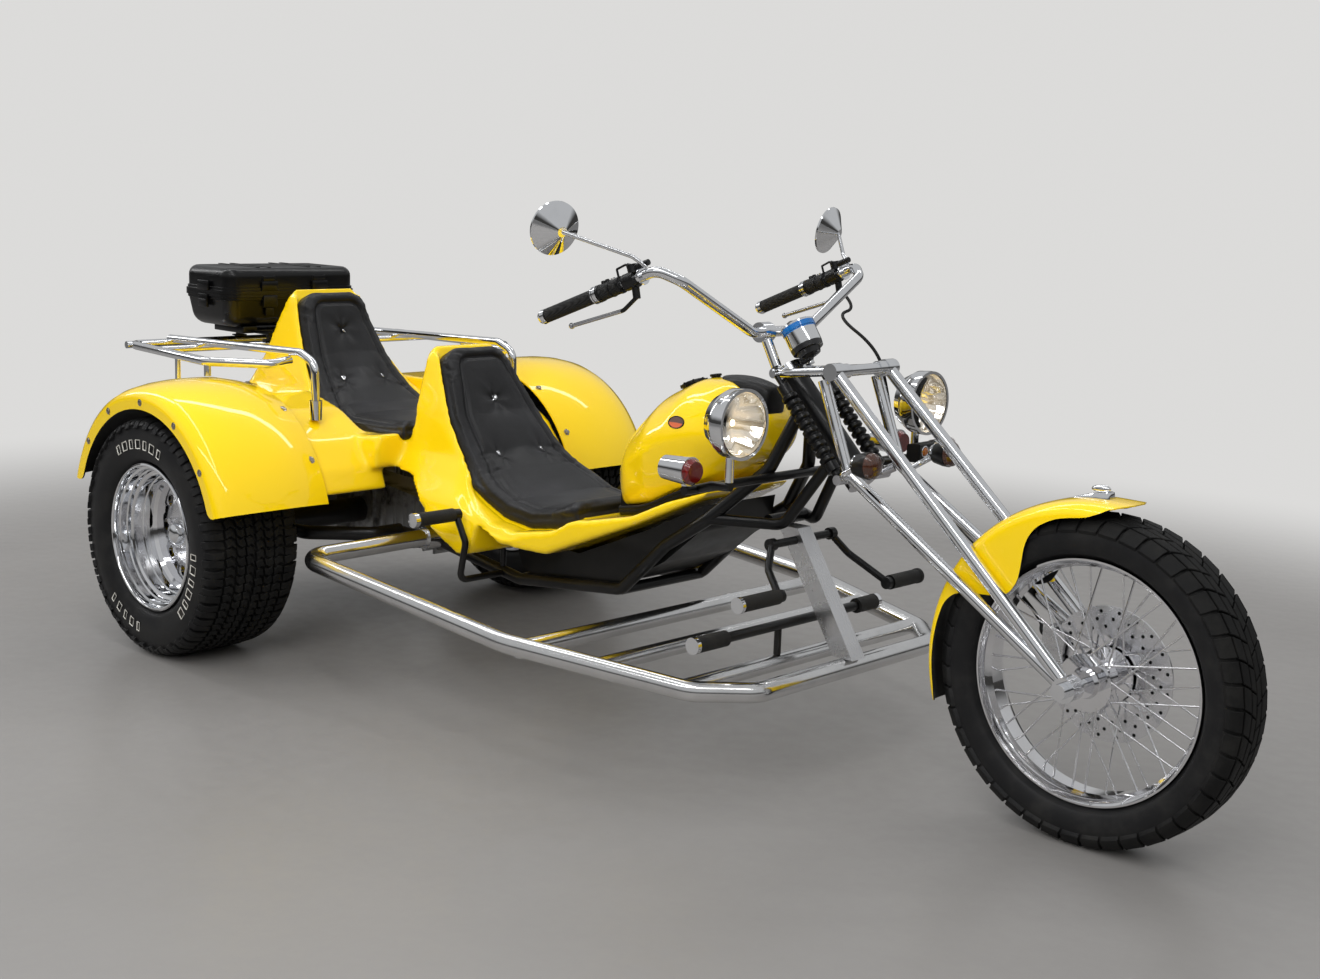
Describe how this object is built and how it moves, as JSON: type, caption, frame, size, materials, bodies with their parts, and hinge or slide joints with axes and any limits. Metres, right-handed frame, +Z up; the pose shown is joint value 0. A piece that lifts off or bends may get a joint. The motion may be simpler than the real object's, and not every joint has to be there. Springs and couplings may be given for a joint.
{
  "type": "motorized trike",
  "caption": "Three-wheeled motor trike with a raked girder fork, wire front wheel, wide rear wheels, two seats in line, tubular foot frame and a lidded luggage case",
  "frame": {"origin": "middle of the overall length and width, on the floor under the tyres", "axes": "+X forward, +Y to the left of the rider, +Z up"},
  "size_m": [3.59, 1.612, 1.3075],
  "materials": {
    "yellow_paint": "deep gloss",
    "black_leather": "satin",
    "black_metal": "semi-gloss",
    "cast_alloy": "matt",
    "polished_steel": "polished",
    "chrome": "mirror",
    "alloy": "polished",
    "lamp_glass": "clear",
    "red_lens": "gloss",
    "black_rubber": "matt",
    "tyre_rubber": "matt",
    "black_plastic": "satin",
    "smoked_lens": "gloss",
    "amber_lens": "gloss"
  },
  "bodies": {
    "chassis": {"body_shell": "yellow_paint", "rear_fender_right": "yellow_paint", "rear_fender_left": "yellow_paint", "fuel_tank": "yellow_paint", "seat_front": "black_leather", "seat_rear": "black_leather", "belly_pan": "black_metal", "frame_main": "black_metal", "rear_axle": "black_metal", "gearbox": "black_metal", "engine": "cast_alloy", "lamp_bar": "black_metal", "front_post": "polished_steel", "foot_frame": "polished_steel", "luggage_rack": "chrome", "headlights": "chrome", "headlight_lenses": "lamp_glass", "bar_indicators": "chrome", "indicator_lenses": "red_lens", "case_base": "black_plastic", "tank_trim": "black_rubber", "rider_pegs": "black_rubber", "pedals": "black_metal", "passenger_pegs": "black_rubber", "rear_struts": "black_metal", "exhaust": "black_metal", "tail_lamps": "chrome", "lamp_box": "black_plastic", "lamp_box_lenses": "amber_lens"},
    "steering": {"girder_fork": "chrome", "steering_stem": "chrome", "handlebar": "chrome", "grips": "black_rubber", "mirrors": "chrome", "front_axle": "chrome", "front_fender": "yellow_paint", "struts": "black_metal", "gauge": "chrome", "bar_controls": "chrome", "front_brake": "alloy", "brake_hose": "black_rubber", "fork_lamps": "black_plastic", "fork_lamp_lenses": "smoked_lens"},
    "front_wheel_body": {"front_tyre": "tyre_rubber", "front_wheel": "alloy"},
    "rear_wheel_right_body": {"rear_tyre_right": "tyre_rubber", "rear_wheel_right": "chrome"},
    "rear_wheel_left_body": {"rear_tyre_left": "tyre_rubber", "rear_wheel_left": "chrome"},
    "lid_body": {"case_lid": "black_plastic"}
  },
  "joints": [
    {"name": "steering_turn", "type": "hinge", "parent": "chassis", "child": "steering", "pos_m": [0.685, 0, 0.805], "axis": [-0.7071, 0, 0.7071], "range_deg": [-30, 30]},
    {"name": "front_wheel_spin", "type": "hinge", "parent": "steering", "child": "front_wheel_body", "pos_m": [1.44, 0, 0.355], "axis": [0, 1, 0], "continuous": true},
    {"name": "rear_wheel_right_spin", "type": "hinge", "parent": "chassis", "child": "rear_wheel_right_body", "pos_m": [-1.06, -0.655, 0.338], "axis": [0, 1, 0], "continuous": true},
    {"name": "rear_wheel_left_spin", "type": "hinge", "parent": "chassis", "child": "rear_wheel_left_body", "pos_m": [-1.06, 0.655, 0.338], "axis": [0, 1, 0], "continuous": true},
    {"name": "case_lid_hinge", "type": "hinge", "parent": "chassis", "child": "lid_body", "pos_m": [-1.788, 0, 0.968], "axis": [0, -1, 0], "range_deg": [0, 95]}
  ]
}
